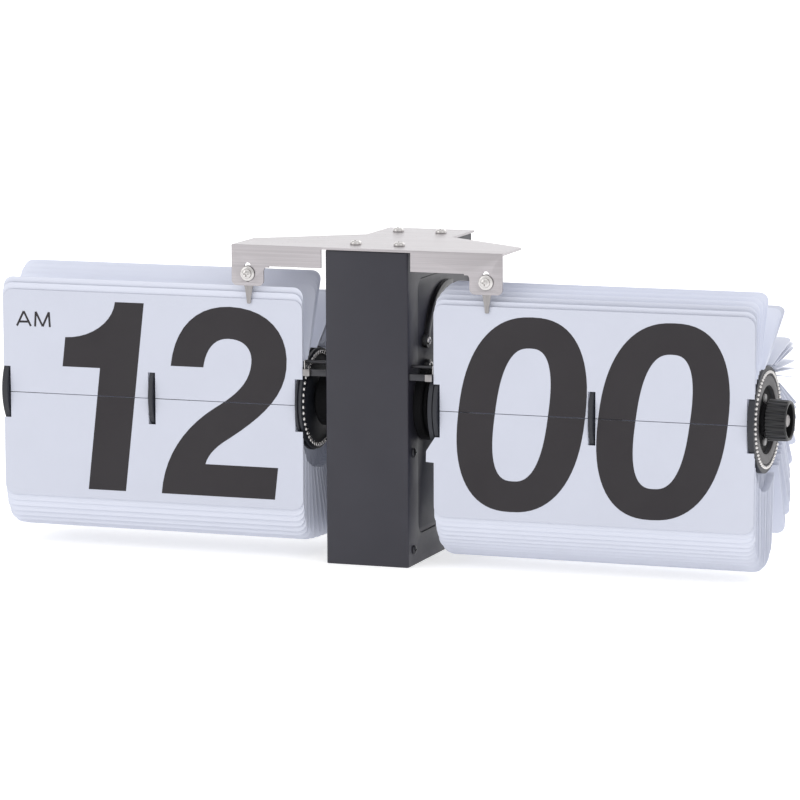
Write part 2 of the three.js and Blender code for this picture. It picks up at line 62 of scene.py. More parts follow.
case_lo, case_hi = box_mm("case_shell")
CASE_X = case_hi[0]
CASE_FRONT, CASE_BACK, CASE_TOP = case_lo[1], case_hi[1], case_hi[2]
axle_lo, axle_hi = box_mm("minute_axle")
AXIS_Y = (axle_lo[1] + axle_hi[1]) / 2
AXIS_Z = (axle_lo[2] + axle_hi[2]) / 2
disc_lo, disc_hi = box_mm("minute_disc_middle")
DISC_R = (disc_hi[2] - disc_lo[2]) / 2
leaf_lo, leaf_hi = box_mm("minute_leaf_upper")
LEAF_IN, LEAF_OUT = leaf_lo[0], leaf_hi[0]
LEAF_Y = (leaf_lo[1] + leaf_hi[1]) / 2
PIN_R = AXIS_Y - LEAF_Y
LEAF_TOP = leaf_hi[2] - AXIS_Z
HOUR_LAG = leaf_hi[2] - box_mm("hour_leaf_upper")[1][2]

# A drum: its name, its side, its number of leaves and how far they sit below the minute leaves.
DRUMS = (("minute", 1, 60, 0.0), ("hour", -1, 48, HOUR_LAG))
SPLIT = 0.15  # from the split line to the edge of a front leaf
PIN_DROP = 1.07  # from the split line to a front leaf's pin
LEAF_THICK = 0.26
CORNER_R = 4.4
SLOT_TOP = 11.6  # from the split line to the top of the slots that clear the discs
SLOT_PLAY = 0.7
POST_AT = 9.3  # from the axis to a post in an outer disc
SHAFT_R = 2.5
BORE_R = 2.9
PANEL_GAP = 0.25


def disc_span(name):
    low, high = box_mm(name)
    return low[0], high[0]


# ---- meshes ------------------------------------------------------------------------------------
PLACES = {
    "x": lambda u, v, w: (w, u, v),
    "y": lambda u, v, w: (u, w, v),
    "z": lambda u, v, w: (u, v, w),
}


def arc(cx, cy, r, start, end, steps=8):
    """Points on a circle from start to end, in degrees, both ends included."""
    turns = [math.radians(start + (end - start) * i / steps) for i in range(steps + 1)]
    return [(cx + r * math.cos(t), cy + r * math.sin(t)) for t in turns]


def rounded_rect(u0, u1, v0, v1, r, steps=6):
    return (
        arc(u1 - r, v0 + r, r, -90, 0, steps)
        + arc(u1 - r, v1 - r, r, 0, 90, steps)
        + arc(u0 + r, v1 - r, r, 90, 180, steps)
        + arc(u0 + r, v0 + r, r, 180, 270, steps)
    )


def add_prism(bm, outline, low, high, axis):
    """An outline pushed from low to high along an axis. Its points are (y, z), (x, z) or (x, y)."""
    place = PLACES[axis]
    ends = [[bm.verts.new(place(u, v, w)) for u, v in outline] for w in (low, high)]
    for ring in ends:
        bm.faces.new(ring)
    count = len(outline)
    for i in range(count):
        j = (i + 1) % count
        bm.faces.new((ends[0][i], ends[0][j], ends[1][j], ends[1][i]))
    return bm


def add_block(bm, x, y, z):
    return add_prism(bm, [(x[0], y[0]), (x[1], y[0]), (x[1], y[1]), (x[0], y[1])], z[0], z[1], "z")


def add_rings(bm, rings, loop=False):
    """Skins a row of rings. A ring of one point closes an end; loop joins the last to the first."""
    made = [[bm.verts.new(p) for p in ring] for ring in rings]
    pairs = list(zip(made, made[1:]))
    if loop:
        pairs.append((made[-1], made[0]))
    for a, b in pairs:
        count = max(len(a), len(b))
        for i in range(count):
            j = (i + 1) % count
            corners = [a[i % len(a)], a[j % len(a)], b[j % len(b)], b[i % len(b)]]
            bm.faces.new(list(dict.fromkeys(corners)))
    return bm


def add_lathe(bm, profile, centre, axis="x", sides=64, loop=False, radius_at=None):
    """Turns (radius, distance along the axis) about a line through centre."""
    place = PLACES[axis]
    rings = []
    for r, w in profile:
        if r < 1e-6:
            rings.append([place(centre[0], centre[1], w)])
            continue
        ring = []
        for i in range(sides):
            t = 2 * math.pi * i / sides
            at_r = radius_at(r, w, t) if radius_at else r
            ring.append(place(centre[0] + at_r * math.cos(t), centre[1] + at_r * math.sin(t), w))
        rings.append(ring)
    return add_rings(bm, rings, loop)


def bevel(bm, width, segments=2, over=30):
    bmesh.ops.remove_doubles(bm, verts=bm.verts, dist=1e-4)
    bmesh.ops.recalc_face_normals(bm, faces=bm.faces)
    edges = [e for e in bm.edges if e.is_manifold and e.calc_face_angle(0) > math.radians(over)]
    bmesh.ops.bevel(bm, geom=edges, offset=width, segments=segments, profile=0.5, affect="EDGES",
                    clamp_overlap=True)
    return bm


def combine(first, others, operation):
    """Joins or cuts closed meshes: the first with each of the others, by exact booleans."""
    objects = []
    for bm in [first, *others]:
        bmesh.ops.recalc_face_normals(bm, faces=bm.faces)
        mesh = bpy.data.meshes.new("scratch")
        bm.to_mesh(mesh)
        bm.free()
        objects.append(bpy.data.objects.new("scratch", mesh))
        scene.collection.objects.link(objects[-1])
    base = objects[0]
    for tool in objects[1:]:
        step = base.modifiers.new("step", "BOOLEAN")
        step.operation, step.solver, step.object = operation, "EXACT", tool
    bpy.context.view_layer.update()
    result = bmesh.new()
    evaluated = base.evaluated_get(bpy.context.evaluated_depsgraph_get())
    result.from_mesh(evaluated.to_mesh())
    evaluated.to_mesh_clear()
    for obj in objects:
        mesh = obj.data
        bpy.data.objects.remove(obj)
        bpy.data.meshes.remove(mesh)
    bmesh.ops.remove_doubles(result, verts=result.verts, dist=1e-4)
    return result


def piece(name, bm, material, body, replaces=(), sharp=38):
    """Makes a finished object from a mesh in millimetres and hangs it on its CAD body."""
    bmesh.ops.remove_doubles(bm, verts=bm.verts, dist=1e-5)
    bmesh.ops.recalc_face_normals(bm, faces=bm.faces)
    bmesh.ops.scale(bm, vec=(MM, MM, MM), verts=bm.verts)
    mesh = bpy.data.meshes.new(name)
    bm.to_mesh(mesh)
    bm.free()
    mesh.materials.append(material)
    mesh.polygons.foreach_set("use_smooth", [True] * len(mesh.polygons))
    mesh.set_sharp_from_angle(angle=math.radians(sharp))
    obj = bpy.data.objects.new(name, mesh)
    scene.collection.objects.link(obj)
    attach(obj, body)
    if replaces:
        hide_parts(*replaces)


# ---- materials ---------------------------------------------------------------------------------
class Surface:
    """A Principled material whose nodes are added one at a time."""

    def __init__(self, name, color, roughness, metallic=0.0, **sockets):
        self.material = bpy.data.materials.new(name)
        self.material.use_nodes = True
        self.nodes = self.material.node_tree.nodes
        self.links = self.material.node_tree.links
        self.shader = next(n for n in self.nodes if n.type == "BSDF_PRINCIPLED")
        self.shader.inputs["Base Color"].default_value = (*color, 1)
        self.shader.inputs["Roughness"].default_value = roughness
        self.shader.inputs["Metallic"].default_value = metallic
        for socket, value in sockets.items():
            self.shader.inputs[socket.replace("_", " ")].default_value = value
        self.color = color
        self.place = self.nodes.new("ShaderNodeTexCoord").outputs["Object"]

    def noise(self, scale, detail=3.0, stretch=(1, 1, 1)):
        """Noise with scale repeats in a metre, stretched by three factors."""
        mapping = self.nodes.new("ShaderNodeMapping")
        mapping.inputs["Scale"].default_value = stretch
        self.links.new(self.place, mapping.inputs["Vector"])
        texture = self.nodes.new("ShaderNodeTexNoise")
        texture.inputs["Scale"].default_value = scale
        texture.inputs["Detail"].default_value = detail
        self.links.new(mapping.outputs["Vector"], texture.inputs["Vector"])
        return texture.outputs["Fac"]

    def spread(self, value, low, high):
        """Stretches the middle of a noise over the whole way from low to high."""
        node = self.nodes.new("ShaderNodeMapRange")
        limits = {"From Min": 0.3, "From Max": 0.7, "To Min": low, "To Max": high}
        for socket, number in limits.items():
            node.inputs[socket].default_value = number
        self.links.new(value, node.inputs["Value"])
        return node.outputs["Result"]

    def vary_roughness(self, value, low, high):
        self.links.new(self.spread(value, low, high), self.shader.inputs["Roughness"])

    def vary_color(self, value, other):
        mix = self.nodes.new("ShaderNodeMix")
        mix.data_type = "RGBA"
        mix.inputs["A"].default_value = (*self.color, 1)
        mix.inputs["B"].default_value = (*other, 1)
        self.links.new(self.spread(value, 0, 1), mix.inputs["Factor"])
        self.links.new(mix.outputs["Result"], self.shader.inputs["Base Color"])

    def bump(self, value, depth):
        node = self.nodes.new("ShaderNodeBump")
        node.inputs["Strength"].default_value = 1
        node.inputs["Distance"].default_value = depth * MM
        self.links.new(value, node.inputs["Height"])
        self.links.new(node.outputs["Normal"], self.shader.inputs["Normal"])


def shade(color, factor):
    return tuple(c * factor for c in color)


def plain(name, color, roughness, grain, depth, metallic=0.0, tone=0.85, **sockets):
    """A moulded, painted or plated surface: fine grain, patchy gloss and small changes of tone."""
    s = Surface(name, color, roughness, metallic, **sockets)
    patches = s.noise(35, 4)
    s.vary_roughness(patches, roughness * 0.82, min(1, roughness * 1.2))
    s.vary_color(s.noise(60, 5), shade(color, tone))
    s.bump(s.noise(grain, 2), depth)
    return s.material


def brushed(name, color, roughness, stretch):
    """Bare metal with fine streaks, longest along the axis with the smallest stretch."""
    s = Surface(name, color, roughness, 1.0)
    streaks = s.noise(1, 5, stretch)
    s.vary_roughness(streaks, roughness * 0.8, roughness * 1.25)
    s.vary_color(streaks, shade(color, 0.86))
    s.bump(streaks, 0.012)
    return s.material


CASE = plain("case_paint", (0.0225, 0.0218, 0.0325), 0.45, 5200, 0.012, tone=0.9)
BLACK = plain("black_plastic", (0.012, 0.012, 0.014), 0.36, 2600, 0.012)
SATIN = plain("satin_plastic", (0.018, 0.02, 0.028), 0.5, 2600, 0.012)
# Near-black painted shade: put on the boss, in the knob's bore and round the hubs of the thick
# discs, where they lie in shadow.
SHADE_BLACK = plain("painted_shade_black", (0.004, 0.004, 0.005), 0.75, 2600, 0.012,
                  Specular_IOR_Level=0.2)
GREY = plain("grey_plastic", (0.085, 0.081, 0.086), 0.5, 2600, 0.012)
POST_GREY = plain("pale_grey_plastic", (0.34, 0.335, 0.34), 0.5, 2600, 0.012)
DARK_METAL = plain("blackened_steel", (0.06, 0.06, 0.066), 0.34, 3000, 0.006, metallic=0.8)
BRUSHED = brushed("brushed_steel", (0.465, 0.44, 0.455), 0.34, (12, 2600, 2600))
SPRING = brushed("spring_steel", (0.34, 0.325, 0.325), 0.36, (900, 900, 20))
TURNED = plain("plated_metal", (0.72, 0.7, 0.69), 0.24, 1400, 0.006, metallic=1.0, tone=0.8)
LEAF = plain("leaf_sheet", (0.578, 0.6, 0.69), 0.4, 900, 0.002, tone=0.98, Specular_IOR_Level=0.35)
# The loose leaves are painted lighter than the front leaves, with a paler colour and a faint glow:
# painted light for the light that comes through the sheets behind them.
PAINTED_GLOW = (0.86, 0.89, 1, 1)
PAINTED_LIGHT_LEAF = plain("leaf_sheet_painted_light", (0.65, 0.675, 0.77), 0.4, 900, 0.002, tone=0.98,
                   Specular_IOR_Level=0.35, Emission_Strength=0.03, Emission_Color=PAINTED_GLOW)
# The leaves high behind the front ones glow more: painted light against the bracket's shadow.
PAINTED_BACKLIGHT_LEAF = plain("leaf_sheet_painted_backlight", (0.65, 0.675, 0.77), 0.4, 900, 0.002, tone=0.98,
                     Specular_IOR_Level=0.35, Emission_Strength=0.12, Emission_Color=PAINTED_GLOW)
INK = plain("print_ink", (0.022, 0.0185, 0.022), 0.5, 4000, 0.004, tone=0.94,
            Specular_IOR_Level=0.35)
ACETAL = plain("gear_acetal", (0.78, 0.76, 0.68), 0.4, 1800, 0.005)
BRASS = plain("turned_brass", (0.62, 0.44, 0.18), 0.3, 1600, 0.006, metallic=1.0)
BOARD = plain("solder_mask", (0.03, 0.15, 0.07), 0.35, 1200, 0.01, tone=0.6)
CELL = plain("cell_sleeve", (0.3, 0.31, 0.34), 0.32, 1500, 0.006, metallic=0.5)


# ---- centre case -------------------------------------------------------------------------------
def make_case():
    wall = 1.6
    plan = rounded_rect(-CASE_X, CASE_X, CASE_FRONT, CASE_BACK, 1.2, 4)
    shell = add_prism(bmesh.new(), plan, 0, CASE_TOP, "z")
    tools = [add_block(bmesh.new(), (wall - CASE_X, CASE_X - wall),
                       (CASE_FRONT + wall, CASE_BACK - wall), (wall, CASE_TOP - wall))]
    for node, side in (("right_side_panel", 1), ("left_side_panel", -1)):
        low, high = box_mm(node)
        window = rounded_rect(low[1] - PANEL_GAP, high[1] + PANEL_GAP, low[2] - PANEL_GAP,
                              high[2] + PANEL_GAP, 5, 6)
        tools.append(add_prism(bmesh.new(), window, side * CASE_X - 3, side * CASE_X + 3, "x"))
    low, high = box_mm("battery_door")
    tools.append(add_block(bmesh.new(), (low[0] - PANEL_GAP, high[0] + PANEL_GAP),
                           (CASE_BACK - 3, CASE_BACK + 3),
                           (low[2] - PANEL_GAP, high[2] + PANEL_GAP)))
    body = combine(shell, tools, "DIFFERENCE")
    piece("case_body", bevel(body, 0.3, 2), CASE, "root", ["case_shell"])


def make_case_covers():
    for node, side in (("right_side_panel", 1), ("left_side_panel", -1)):
        low, high = box_mm(node)
        outer = high[0] if side > 0 else low[0]
        plate = add_prism(bmesh.new(), rounded_rect(low[1], high[1], low[2], high[2], 4.7, 6),
                          outer - side * 1.4, outer, "x")
        hole_r, start, end = 7.1, outer - 4, outer + 4
        hole = add_lathe(bmesh.new(), [(0, start), (hole_r, start), (hole_r, end), (0, end)],
                         (AXIS_Y, AXIS_Z), sides=40)
        panel = bevel(combine(plate, [hole], "DIFFERENCE"), 0.3, 2)
        piece(node.replace("side_panel", "cover"), panel, CASE, "root", [node])

    low, high = box_mm("battery_door")
    door = add_block(bmesh.new(), (low[0], high[0]), (low[1], high[1]), (low[2], high[2]))
    notch_r, half = 2.2, 6
    notch = add_lathe(bmesh.new(), [(0, -half), (notch_r, -half), (notch_r, half), (0, half)],
                      (CASE_BACK + 1.2, high[2] - 5), sides=32)
    door = combine(door, [notch], "DIFFERENCE")
    piece("battery_cover", bevel(door, 0.25, 2), CASE, "battery_lid", ["battery_door"])


def screw(name, at, axis, facing, r, rise, material, body, replaces=(), cross=True):
    """A domed screw head with a cross or a single slot. at is the middle of its seat."""
    index = "xyz".index(axis)
    across = [c for i, c in enumerate(at) if i != index]
    seat = at[index]
    top = seat + facing * rise
    dome = ((0, 0), (0.97, 0), (1, 0.2), (0.93, 0.62), (0.72, 0.9), (0.35, 1), (0, 1))
    profile = [(r * out, seat + facing * rise * up) for out, up in dome]
    head = add_lathe(bmesh.new(), profile, across, axis, 40)
    tools = []
    half, width = r * 0.56, r * 0.13
    arms = ((half, width), (width, half)) if cross else ((width, r * 1.2),)
    for du, dv in arms:
        outline = [(across[0] - du, across[1] - dv), (across[0] + du, across[1] - dv),
                   (across[0] + du, across[1] + dv), (across[0] - du, across[1] + dv)]
        depths = sorted((seat + facing * rise * 0.35, top + facing))
        tools.append(add_prism(bmesh.new(), outline, *depths, axis))
    head = combine(head, tools, "DIFFERENCE")
    piece(name, bevel(head, min(0.07, r * 0.03), 1, 40), material, body, replaces, sharp=32)


def make_side_screws():
    for node in ("right_case_screw_1", "right_case_screw_2",
                 "left_case_screw_1", "left_case_screw_2"):
        low, high = box_mm(node)
        side = 1 if high[0] > 0 else -1
        seat = low[0] if side > 0 else high[0]
        r = (high[2] - low[2]) / 2
        at = (seat - side * 0.25, (low[1] + high[1]) / 2, (low[2] + high[2]) / 2)
        screw(node + "_head", at, "x", side, r, high[0] - low[0] + 0.2, DARK_METAL, "root",
              [node])


# ---- bracket and fingers -----------------------------------------------------------------------
TAB_START = 47.5
TAB_R = 2.4
SEAM_RISE = 8.8  # from the tab's tip to the strip's lower edge
FINGER_X = 55


def make_bracket():
    """A flat plate with two wings and a neck, and a slotted tab bent down from each wing."""
    low, high = box_mm("top_bracket")
    front, back, top = low[1], high[1], high[2]
    wing, tip = high[0], low[2]
    sheet, bend = 0.8, 0.3
    inner, neck = 20.6, 20.2
    wing_back, neck_back = CASE_FRONT + 25.5, CASE_FRONT + 56
    under = CASE_TOP + 0.3
    right = [(inner, front), (inner, front + bend), (wing, front + bend), (wing, wing_back),
             (neck, neck_back), (neck, back)]
    left = [(-x, y) for x, y in reversed(right)]
    plate = add_prism(bmesh.new(), left[3:] + right + left[:3], under, top, "z")
    parts = []
    for side in (-1, 1):
        parts += bracket_tab(side, (front, top, under, sheet, bend), inner, wing, tip)
    cuts = [seam_cut(side, front, inner, tip) for side in (-1, 1)]
    cuts += [finger_slot(side, front, tip) for side in (-1, 1)]
    sheet_metal = combine(plate, parts, "UNION")
    sheet_metal = combine(sheet_metal, cuts, "DIFFERENCE")
    piece("bracket_sheet", bevel(sheet_metal, 0.12, 2, 40), BRUSHED, "root",
          ["top_bracket"])


def bracket_tab(side, bends, inner, wing, tip):
    """The bent strip along a wing's front edge, and the tab that hangs from it."""
    front, top, under, sheet, bend = bends
    seam, r = tip + SEAM_RISE, TAB_R
    fold = ([(front, seam - 0.6), (front, top - bend)]
            + arc(front + bend, top - bend, bend, 180, 90, 6)[1:]
            + [(front + 1.6, top), (front + 1.6, under), (front + sheet, under - 0.2),
               (front + sheet, seam - 0.6)])
    strip = add_prism(bmesh.new(), fold, *sorted((side * inner, side * wing)), "x")
    outline = ([(TAB_START - r - 0.01, seam)] + arc(TAB_START - r, seam - r, r, 90, 0, 6)
               + [(TAB_START, tip + r)] + arc(TAB_START + r, tip + r, r, 180, 270, 6)
               + arc(wing - r, tip + r, r, -90, 0, 6)
               + [(wing, seam + 0.5), (TAB_START - r - 0.01, seam + 0.5)])
    tab = add_prism(bmesh.new(), [(side * x, z) for x, z in outline], front, front + sheet, "y")
    return [strip, tab]


def seam_cut(side, front, inner, tip):
    """What is cut off the bent strip, below its lower edge."""
    seam = tip + SEAM_RISE
    return add_block(bmesh.new(), sorted((side * (inner - 1), side * (TAB_START - TAB_R))),
                     (front - 1, front + 3), (seam - 2, seam))


def finger_slot(side, front, tip):
    """The slot in a tab that the finger's screw slides in."""
    x, half = side * FINGER_X, 1.4
    outline = rounded_rect(x - half, x + half, tip + 1.7, tip + 10.2, 1.35)
    return add_prism(bmesh.new(), outline, front - 2, front + 3, "y")


def make_bracket_screws():
    for i in range(1, 5):
        node = f"bracket_screw_{i}"
        low, high = box_mm(node)
        middle = ((low[0] + high[0]) / 2, (low[1] + high[1]) / 2, low[2] - 0.28)
        screw(node + "_head", middle, "z", 1, (high[0] - low[0]) / 2, high[2] - middle[2], TURNED,
              "root", [node])


def make_finger(name):
    """The tapered strip that holds the front upper leaf, with its washer and its clamp screw."""
    low, high = box_mm(f"{name}_finger")
    x = (low[0] + high[0]) / 2
    tip, top = low[2], high[2]
    body = f"{name}_finger_strip"
    head_r = 2.6
    taper = ((2.5, 9), (1.9, 7.4), (1.15, 3), (0.85, 0.3), (0.6, 0))
    right = [(x + half, tip + up) for half, up in taper]
    left = [(x - half, tip + up) for half, up in reversed(taper)]
    outline = right + left + arc(x, top - head_r, head_r, 180, 0, 12)
    strip = add_prism(bmesh.new(), outline, low[1], high[1], "y")
    piece(f"{name}_finger_blade", bevel(strip, 0.09, 2, 40), SPRING, body,
          [f"{name}_finger"])

    low, high = box_mm(f"{name}_finger_washer")
    at = (x, (low[2] + high[2]) / 2)
    r = (high[2] - low[2]) / 2
    ring = [(1.45, low[1]), (1.45, high[1]), (r - 0.25, high[1]), (r, high[1] - 0.2),
            (r - 0.1, low[1] + 0.15), (r - 0.45, low[1])]
    washer = add_lathe(bmesh.new(), ring, at, "y", 48, loop=True)
    piece(f"{name}_washer", washer, TURNED, body, [f"{name}_finger_washer"])

    low, high = box_mm(f"{name}_finger_screw")
    rise = 1.3
    seat = (at[0], low[1] + rise, at[1])
    screw(f"{name}_clamp_screw", seat, "y", -1, 2.2, rise, TURNED, body,
          [f"{name}_finger_screw"])
    shank = add_lathe(bmesh.new(), [(0, low[1] + 1.2), (1.1, low[1] + 1.2), (1.1, high[1] - 0.3),
                                    (0.8, high[1]), (0, high[1])], at, "y", 24)
    piece(f"{name}_clamp_shank", shank, TURNED, body)


# ---- parts between the case and the drums ------------------------------------------------------
def make_hub_parts():
    for name, side, _, _ in DRUMS:
        low, high = box_mm(f"{name}_boss")
        near, far = side * (CASE_X + 0.15), (high[0] if side > 0 else low[0])
        r = (high[2] - low[2]) / 2
        profile = [(BORE_R, near), (r, near), (r, far - side * 1.6), (r - 0.5, far - side * 1.1),
                   (r - 2.6, far - side * 1.0), (r - 3, far), (BORE_R, far)]
        boss = add_lathe(bmesh.new(), profile, (AXIS_Y, AXIS_Z), "x", 72, loop=True)
        # Near-black painted shade: the boss sits in the dark gap between the case and the drum.
        piece(f"{name}_boss_turned", boss, SHADE_BLACK, "root", [f"{name}_boss"])
        make_detent(name, side)
        make_guard(name, side)


def make_detent(name, side):
    """A bright stop beside the leaves on a dark arm from the case, with a round bar behind it."""
    low, high = box_mm(f"{name}_detent")
    y, z = (low[1] + high[1]) / 2, (low[2] + high[2]) / 2
    outer = high[0] if side > 0 else low[0]
    wall = side * (CASE_X - 1)
    bar_r = 0.8
    block = add_block(bmesh.new(), sorted((outer, outer - side * 3.2)), (low[1], high[1]),
                      (low[2], high[2]))
    piece(f"{name}_detent_block", bevel(block, 0.3, 2), SPRING, "root",
          [f"{name}_detent"])
    arm = add_block(bmesh.new(), sorted((wall, outer - side * 3.1)), (y + 0.1, y + 1.7),
                    (z - 1.5, z + 1.4))
    piece(f"{name}_detent_arm", bevel(arm, 0.3, 2), DARK_METAL, "root")
    bar = add_lathe(bmesh.new(), [(0, wall), (bar_r, wall), (bar_r, outer), (0, outer)],
                    (y + 4.2, z + 4.2), "x", 24)
    piece(f"{name}_detent_spring", bar, DARK_METAL, "root")
    plate = add_block(bmesh.new(), sorted((outer, outer - side * 0.4)), (y + 0.9, y + 5),
                      (z - 1.5, z + 5.2))
    piece(f"{name}_detent_plate", bevel(plate, 0.1, 1), TURNED, "root")


def make_guard(name, side):
    """A curved strip on the side wall, with a screwed foot at its lower end and a screw below."""
    node = ("right" if side > 0 else "left") + "_guard_strip"
    centre_y, centre_z, r_out, r_in = CASE_FRONT + 50, 92, 29.5, 26.7
    foot_r, foot_turn = 28, math.radians(168.7)
    outline = (arc(centre_y, centre_z, r_out, 80, 171, 40)
               + arc(centre_y, centre_z, r_in, 171, 80, 40))
    depths = sorted((side * (CASE_X + 0.1), side * (CASE_X + 1.9)))
    strip = add_prism(bmesh.new(), outline, *depths, "x")
    piece(f"{name}_guard", bevel(strip, 0.2, 2, 40), BLACK, "root", [node])
    foot_at = (centre_y + foot_r * math.cos(foot_turn), centre_z + foot_r * math.sin(foot_turn))
    pad_at = (foot_at[0] + 2.4, foot_at[1] - 11.2)
    wall, face = side * (CASE_X - 0.6), side * (CASE_X + 1.7)
    for label, at, r in (("foot", foot_at, 3.3), ("pad", pad_at, 2.6)):
        profile = [(0, wall), (r, wall), (r, face - side * 0.3), (r - 0.2, face), (0, face)]
        disc = add_lathe(bmesh.new(), profile, at, "x", 36)
        piece(f"{name}_guard_{label}", disc, BLACK, "root")
        screw(f"{name}_guard_{label}_screw", (side * (CASE_X + 1.6), *at), "x", side, 1.7, 0.9,
              TURNED, "root")


# ---- drums -------------------------------------------------------------------------------------
THICK_DISC = 2.5  # a disc thicker than this has a groove or a hollow, and a thin near-black disc of painted shade round its hub
HUB_R = 2.8
RIM = 0.25
RING_IN, RING_OUT = 14.8, 19.1


def bead_row(name, x, facing, count, body, r, rise):
    """The pin ends that show on a disc's face, one for each leaf."""
    bm = bmesh.new()
    foot, shoulder, crown, top = (x + facing * d for d in (-0.3, rise * 0.35, rise * 0.8, rise))
    profile = [(0, foot), (r, foot), (r, shoulder), (r * 0.8, crown), (r * 0.4, top), (0, top)]
    for i in range(count):
        t = 2 * math.pi * (i + 0.5) / count
        at = (AXIS_Y + PIN_R * math.cos(t), AXIS_Z + PIN_R * math.sin(t))
        add_lathe(bm, profile, at, "x", 12)
    piece(name, bm, TURNED, body, sharp=50)


def disc_profile(near, far, side, outer):
    """(radius, x) round a disc's section. near is its face toward the case."""
    rim_low, rim_high = near + side * RIM, far - side * RIM
    if outer:
        seat = far - side * 0.9
        floor = near + side * 1.2
        return [(HUB_R, near), (DISC_R - RIM, near), (DISC_R, rim_low), (DISC_R, rim_high),
                (DISC_R - RIM, far), (RING_OUT + 0.2, far), (RING_OUT + 0.2, seat),
                (RING_IN - 0.2, seat), (RING_IN - 0.4, floor), (HUB_R, floor)]
    if abs(far - near) > THICK_DISC:
        groove = (near + far) / 2
        return [(HUB_R, near), (DISC_R - 0.9, near), (DISC_R - 0.5, rim_low),
                (DISC_R - 0.5, groove - side * 0.2), (DISC_R - 1.1, groove),
                (DISC_R - 1.1, groove + side * 0.3), (DISC_R, groove + side * 0.5),
                (DISC_R, rim_high), (DISC_R - RIM, far), (HUB_R, far)]
    return [(HUB_R, near), (DISC_R - RIM, near), (DISC_R, rim_low), (DISC_R, rim_high),
            (DISC_R - RIM, far), (HUB_R, far)]


def make_disc(name, side, body, outer):
    """A moulded disc. The thick ones get a thin near-black disc round the hub, painted shade."""
    a, b = disc_span(name)
    near, far = (a, b) if side > 0 else (b, a)
    face = disc_face(name, side) if outer else far
    profile = disc_profile(near, face, side, outer)
    disc = add_lathe(bmesh.new(), profile, (AXIS_Y, AXIS_Z), "x", 96, loop=True)
    piece(name + "_turned", disc, SATIN, body, [name])
    if abs(far - near) > THICK_DISC:
        # A thin near-black disc on the hollow's floor or on the face: painted shade round the hub.
        floor = near + side * 1.21 if outer else (near if side > 0 else far) - 0.01
        cup_r, top = 14.3, floor + side * 0.08
        cup = [(BORE_R, floor), (cup_r, floor), (cup_r, top), (BORE_R, top)]
        shade_disc = add_lathe(bmesh.new(), cup, (AXIS_Y, AXIS_Z), "x", 64, loop=True)
        piece(name + "_recess", shade_disc, SHADE_BLACK, body)


def disc_face(name, side):
    """Where an outer disc's open face is: a little inside its end, which leaves room for pins."""
    return disc_span(name)[1] - 0.3 if side > 0 else disc_span(name)[0] + 0.3


def make_open_face(name, side, body, count):
    """The pin ends, the grey ring and the two posts on an outer disc's open face."""
    face = disc_face(name, side)
    near = disc_span(name)[0 if side > 0 else 1]
    bead_row(name + "_pin_ends", face, side, count, body, 0.72, 0.9 if side > 0 else 0.3)
    section = ((RING_IN, -0.9), (RING_IN, 0.1), (RING_IN + 0.2, 0.25), (RING_OUT - 0.2, 0.25),
               (RING_OUT, 0.1), (RING_OUT, -0.9))
    section = [(r, face + side * out) for r, out in section]
    ring = add_lathe(bmesh.new(), section, (AXIS_Y, AXIS_Z), "x", 96, loop=True)
    piece(name + "_ring", ring, GREY, body, ["minute_ring"] if side > 0 else ())
    posts = bmesh.new()
    start, end, r = near + side * 0.5, face - side * 0.5, 1.9
    for up in (-POST_AT, POST_AT):
        profile = [(0, start), (r, start), (r, end - side * 0.35), (r - 0.25, end - side * 0.05),
                   (r - 0.7, end), (0, end)]
        add_lathe(posts, profile, (AXIS_Y, AXIS_Z + up), "x", 28)
    piece(name + "_posts", posts, POST_GREY, body)


def make_knob():
    """The hollow ribbed knob, a near-black sheet of painted shade in its bore, and the shaft's end
    with its slotted screw.
    """
    low, high = box_mm("minute_knob")
    hub = (AXIS_Y, AXIS_Z)
    skirt, end = low[0] + 1.5, high[0]
    r, draft, ribs, depth = (high[2] - low[2]) / 2, 0.35, 18, 0.5

    def ribbed(radius, x, turn):
        if radius < r - draft - 0.05 or x < skirt + 0.5 or x > end - 0.7:
            return radius
        return radius - depth * (0.5 - 0.5 * math.cos(ribs * turn)) ** 2

    rim = r - draft
    start = disc_span("minute_disc_outer")[0] + 1.4
    neck_r = 6.8
    profile = [(BORE_R, start), (neck_r, start), (neck_r, skirt), (r - 0.4, skirt),
               (r, skirt + 0.4), (r, skirt + 0.6),
               (rim, end - 0.9), (rim - 0.06, end - 0.7), (rim - 0.3, end - 0.1),
               (rim - 0.7, end), (rim - 1.2, end - 0.15), (rim - 1.4, end - 0.6),
               (rim - 1.7, end - 5.2), (BORE_R, end - 5.4)]
    knob = add_lathe(bmesh.new(), profile, hub, "x", ribs * 12, loop=True, radius_at=ribbed)
    piece("setting_knob", knob, BLACK, "minute_drum", ["minute_knob"], sharp=50)
    shaft_end = end - 2.2
    profile = [(0, axle_lo[0]), (SHAFT_R, axle_lo[0]), (SHAFT_R, shaft_end - 0.4),
               (SHAFT_R - 0.3, shaft_end), (0, shaft_end)]
    shaft = add_lathe(bmesh.new(), profile, hub, "x", 40)
    piece("minute_shaft", shaft, TURNED, "minute_drum", ["minute_axle"])
    # A near-black sheet inside the bore: painted shade.
    profile = [(BORE_R, end - 5.3), (rim - 1.75, end - 5.1), (rim - 1.45, end - 0.8),
               (rim - 1.6, end - 0.8), (rim - 1.9, end - 5.0), (BORE_R, end - 5.2)]
    bore_shade = add_lathe(bmesh.new(), profile, hub, "x", 64, loop=True)
    piece("knob_bore_shade", bore_shade, SHADE_BLACK, "minute_drum")
    screw("shaft_screw", (shaft_end - 0.1, *hub), "x", 1, 2.9, 1.6, SPRING, "minute_drum",
          cross=False)


